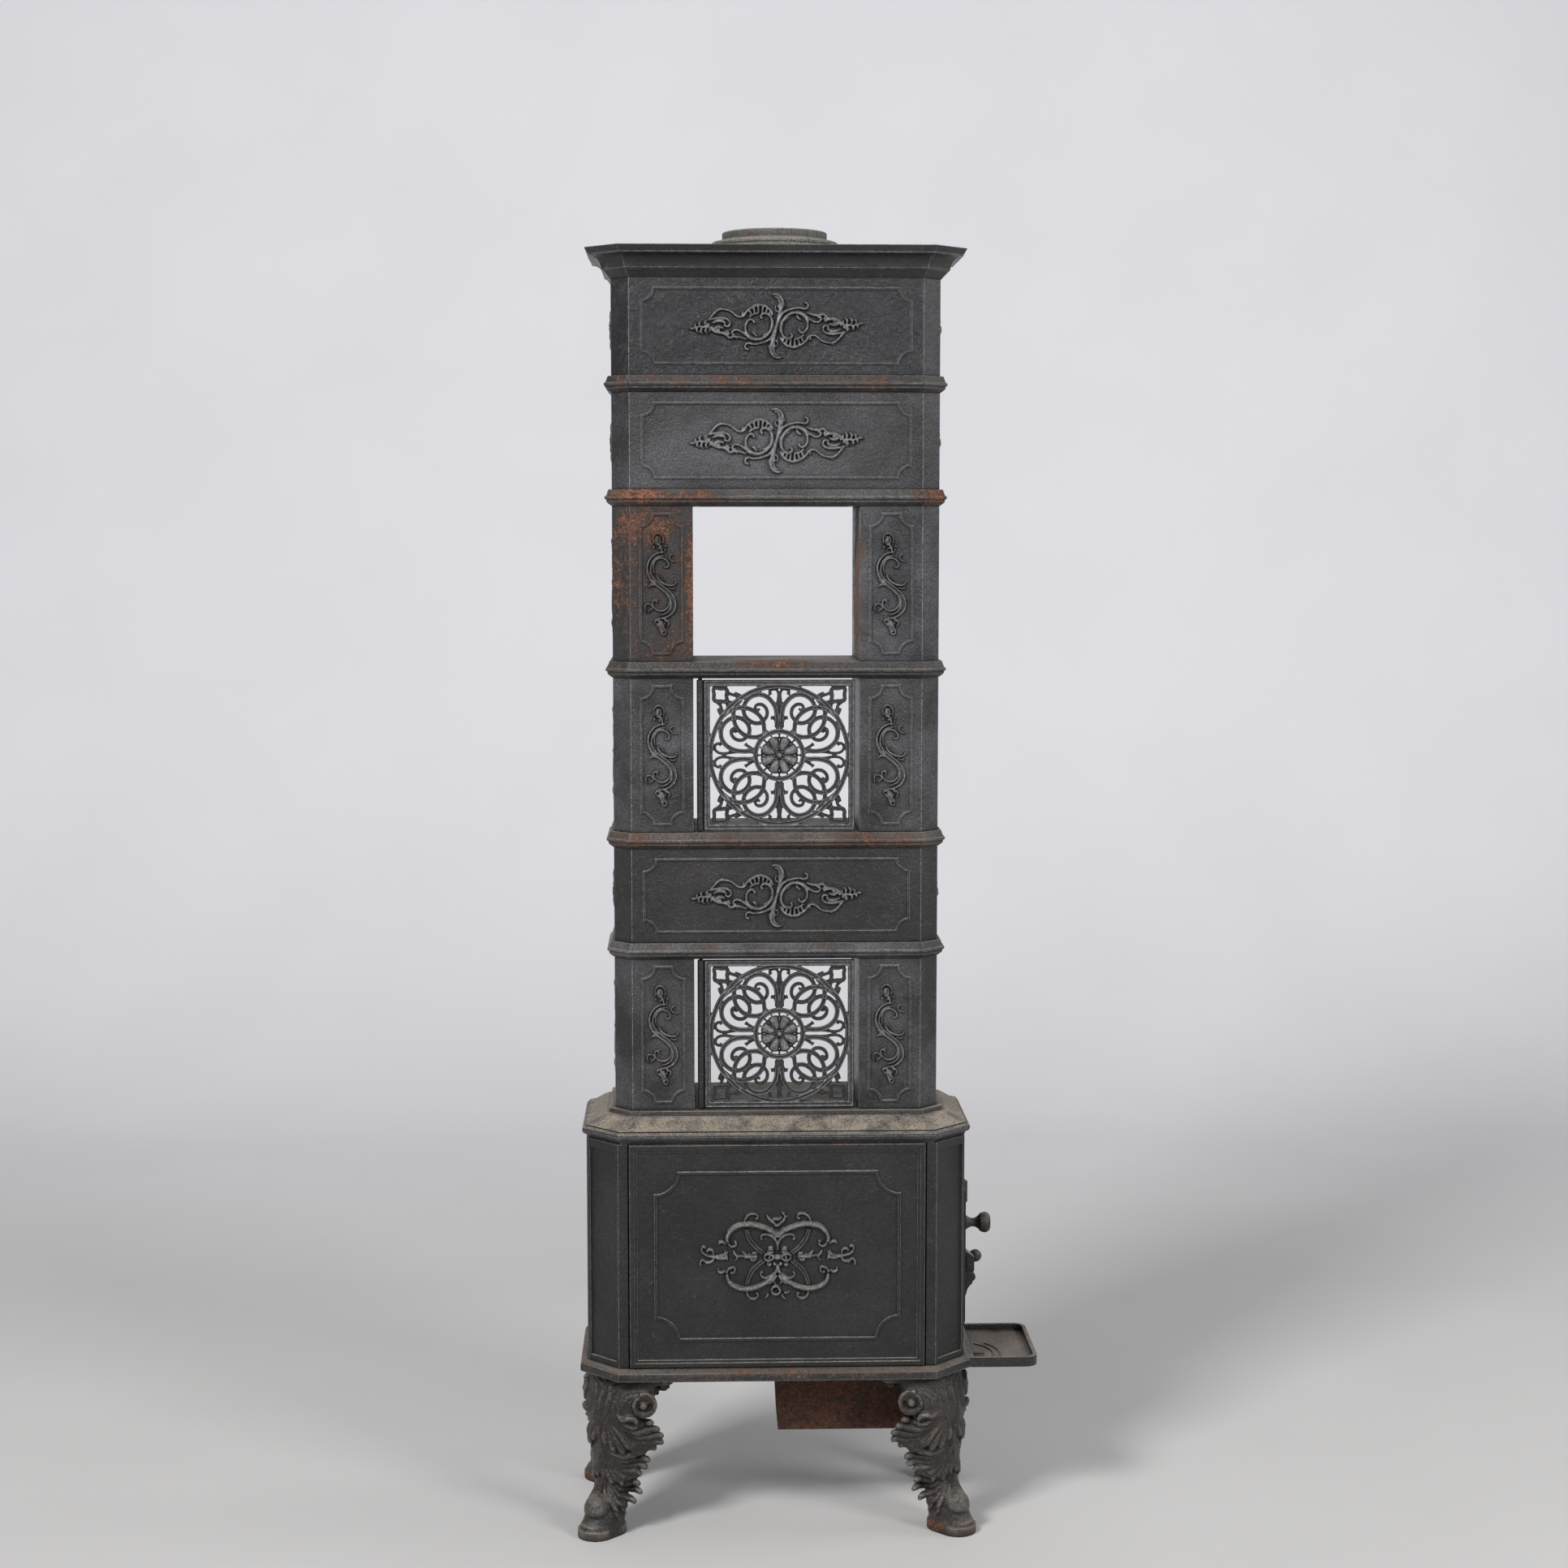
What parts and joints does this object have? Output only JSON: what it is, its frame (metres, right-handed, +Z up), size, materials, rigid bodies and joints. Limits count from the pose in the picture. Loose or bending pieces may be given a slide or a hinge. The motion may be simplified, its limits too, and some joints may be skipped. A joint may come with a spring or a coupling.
{
  "type": "cast-iron tower stove",
  "caption": "Tall narrow cast-iron room stove on cabriole legs: side-fired firebox, tower of open and closed storeys with pierced doors, cornice and top flue collar.",
  "frame": {"origin": "on the floor at the middle of the whole outline, hearth tray included; the stove's own middle lies 39.7 mm to the left of it", "axes": "+X to the stove's right, where the fire door and the hearth tray are; the ornamented front faces -Y; +Z up"},
  "size_m": [0.5746, 0.25, 1.602],
  "materials": {
    "cast_iron": "stove-blacked casting, dusty, rusting at edges and plates",
    "rusty_cast_iron": "burnt and rusty casting",
    "sheet_iron": "thin folded sheet, brown rust all over",
    "steel_fastenings": "wrought pins, bolts and rivets, rusty",
    "firebrick": "fired clay, sooty"
  },
  "bodies": {
    "stove": {"leg_front_left": "cast_iron", "leg_front_right": "cast_iron", "leg_rear_left": "cast_iron", "leg_rear_right": "cast_iron", "leg_bolts": "steel_fastenings", "leg_nuts": "steel_fastenings", "base_plate": "cast_iron", "ash_box": "sheet_iron", "ash_box_rivets": "steel_fastenings", "fire_grate": "rusty_cast_iron", "firebrick_front": "firebrick", "firebrick_rear": "firebrick", "firebrick_left": "firebrick", "base_post_front_left": "cast_iron", "base_post_front_right": "cast_iron", "base_post_rear_left": "cast_iron", "base_post_rear_right": "cast_iron", "base_front_panel": "cast_iron", "base_rear_panel": "cast_iron", "base_left_panel": "cast_iron", "base_right_panel": "cast_iron", "fire_door_hinge_pins": "steel_fastenings", "base_top": "cast_iron", "storey1_flue_left": "cast_iron", "storey1_flue_right": "cast_iron", "floor_1": "cast_iron", "storey2_box": "cast_iron", "floor_2": "cast_iron", "storey3_flue_left": "cast_iron", "storey3_flue_right": "cast_iron", "floor_3": "cast_iron", "storey4_flue_left": "cast_iron", "storey4_flue_right": "cast_iron", "floor_4": "cast_iron", "storey5_box": "cast_iron", "floor_5": "cast_iron", "storey6_box": "cast_iron", "crown": "cast_iron", "flue_collar": "rusty_cast_iron"},
    "fire_door": {"fire_door": "cast_iron"},
    "door_latch": {"fire_door_knob": "cast_iron", "fire_door_latch": "rusty_cast_iron"},
    "air_slide": {"air_slide": "cast_iron"},
    "lower_grille": {"lower_grille_door": "cast_iron", "lower_grille_pins": "steel_fastenings"},
    "upper_grille": {"upper_grille_door": "cast_iron", "upper_grille_pins": "steel_fastenings"},
    "ash_pan": {"ash_pan": "sheet_iron"}
  },
  "joints": [
    {"name": "fire_door_hinge", "type": "hinge", "parent": "stove", "child": "fire_door", "pos_m": [0.20509, 0.057, 0.3325], "axis": [0, 0, 1], "range_deg": [0, 120]},
    {"name": "door_knob_turn", "type": "hinge", "parent": "fire_door", "child": "door_latch", "pos_m": [0.19689, -0.03, 0.373], "axis": [1, 0, 0], "range_deg": [0, 90]},
    {"name": "air_slide_travel", "type": "slide", "parent": "fire_door", "child": "air_slide", "axis": [0, 1, 0], "range_m": [0, 0.012]},
    {"name": "lower_grille_hinge", "type": "hinge", "parent": "stove", "child": "lower_grille", "pos_m": [-0.13246, -0.073, 0.624], "axis": [0, 0, -1], "range_deg": [0, 95]},
    {"name": "upper_grille_hinge", "type": "hinge", "parent": "stove", "child": "upper_grille", "pos_m": [-0.13246, -0.073, 0.968], "axis": [0, 0, -1], "range_deg": [0, 95]},
    {"name": "ash_pan_slide", "type": "slide", "parent": "stove", "child": "ash_pan", "axis": [1, 0, 0], "range_m": [0, 0.15]}
  ]
}
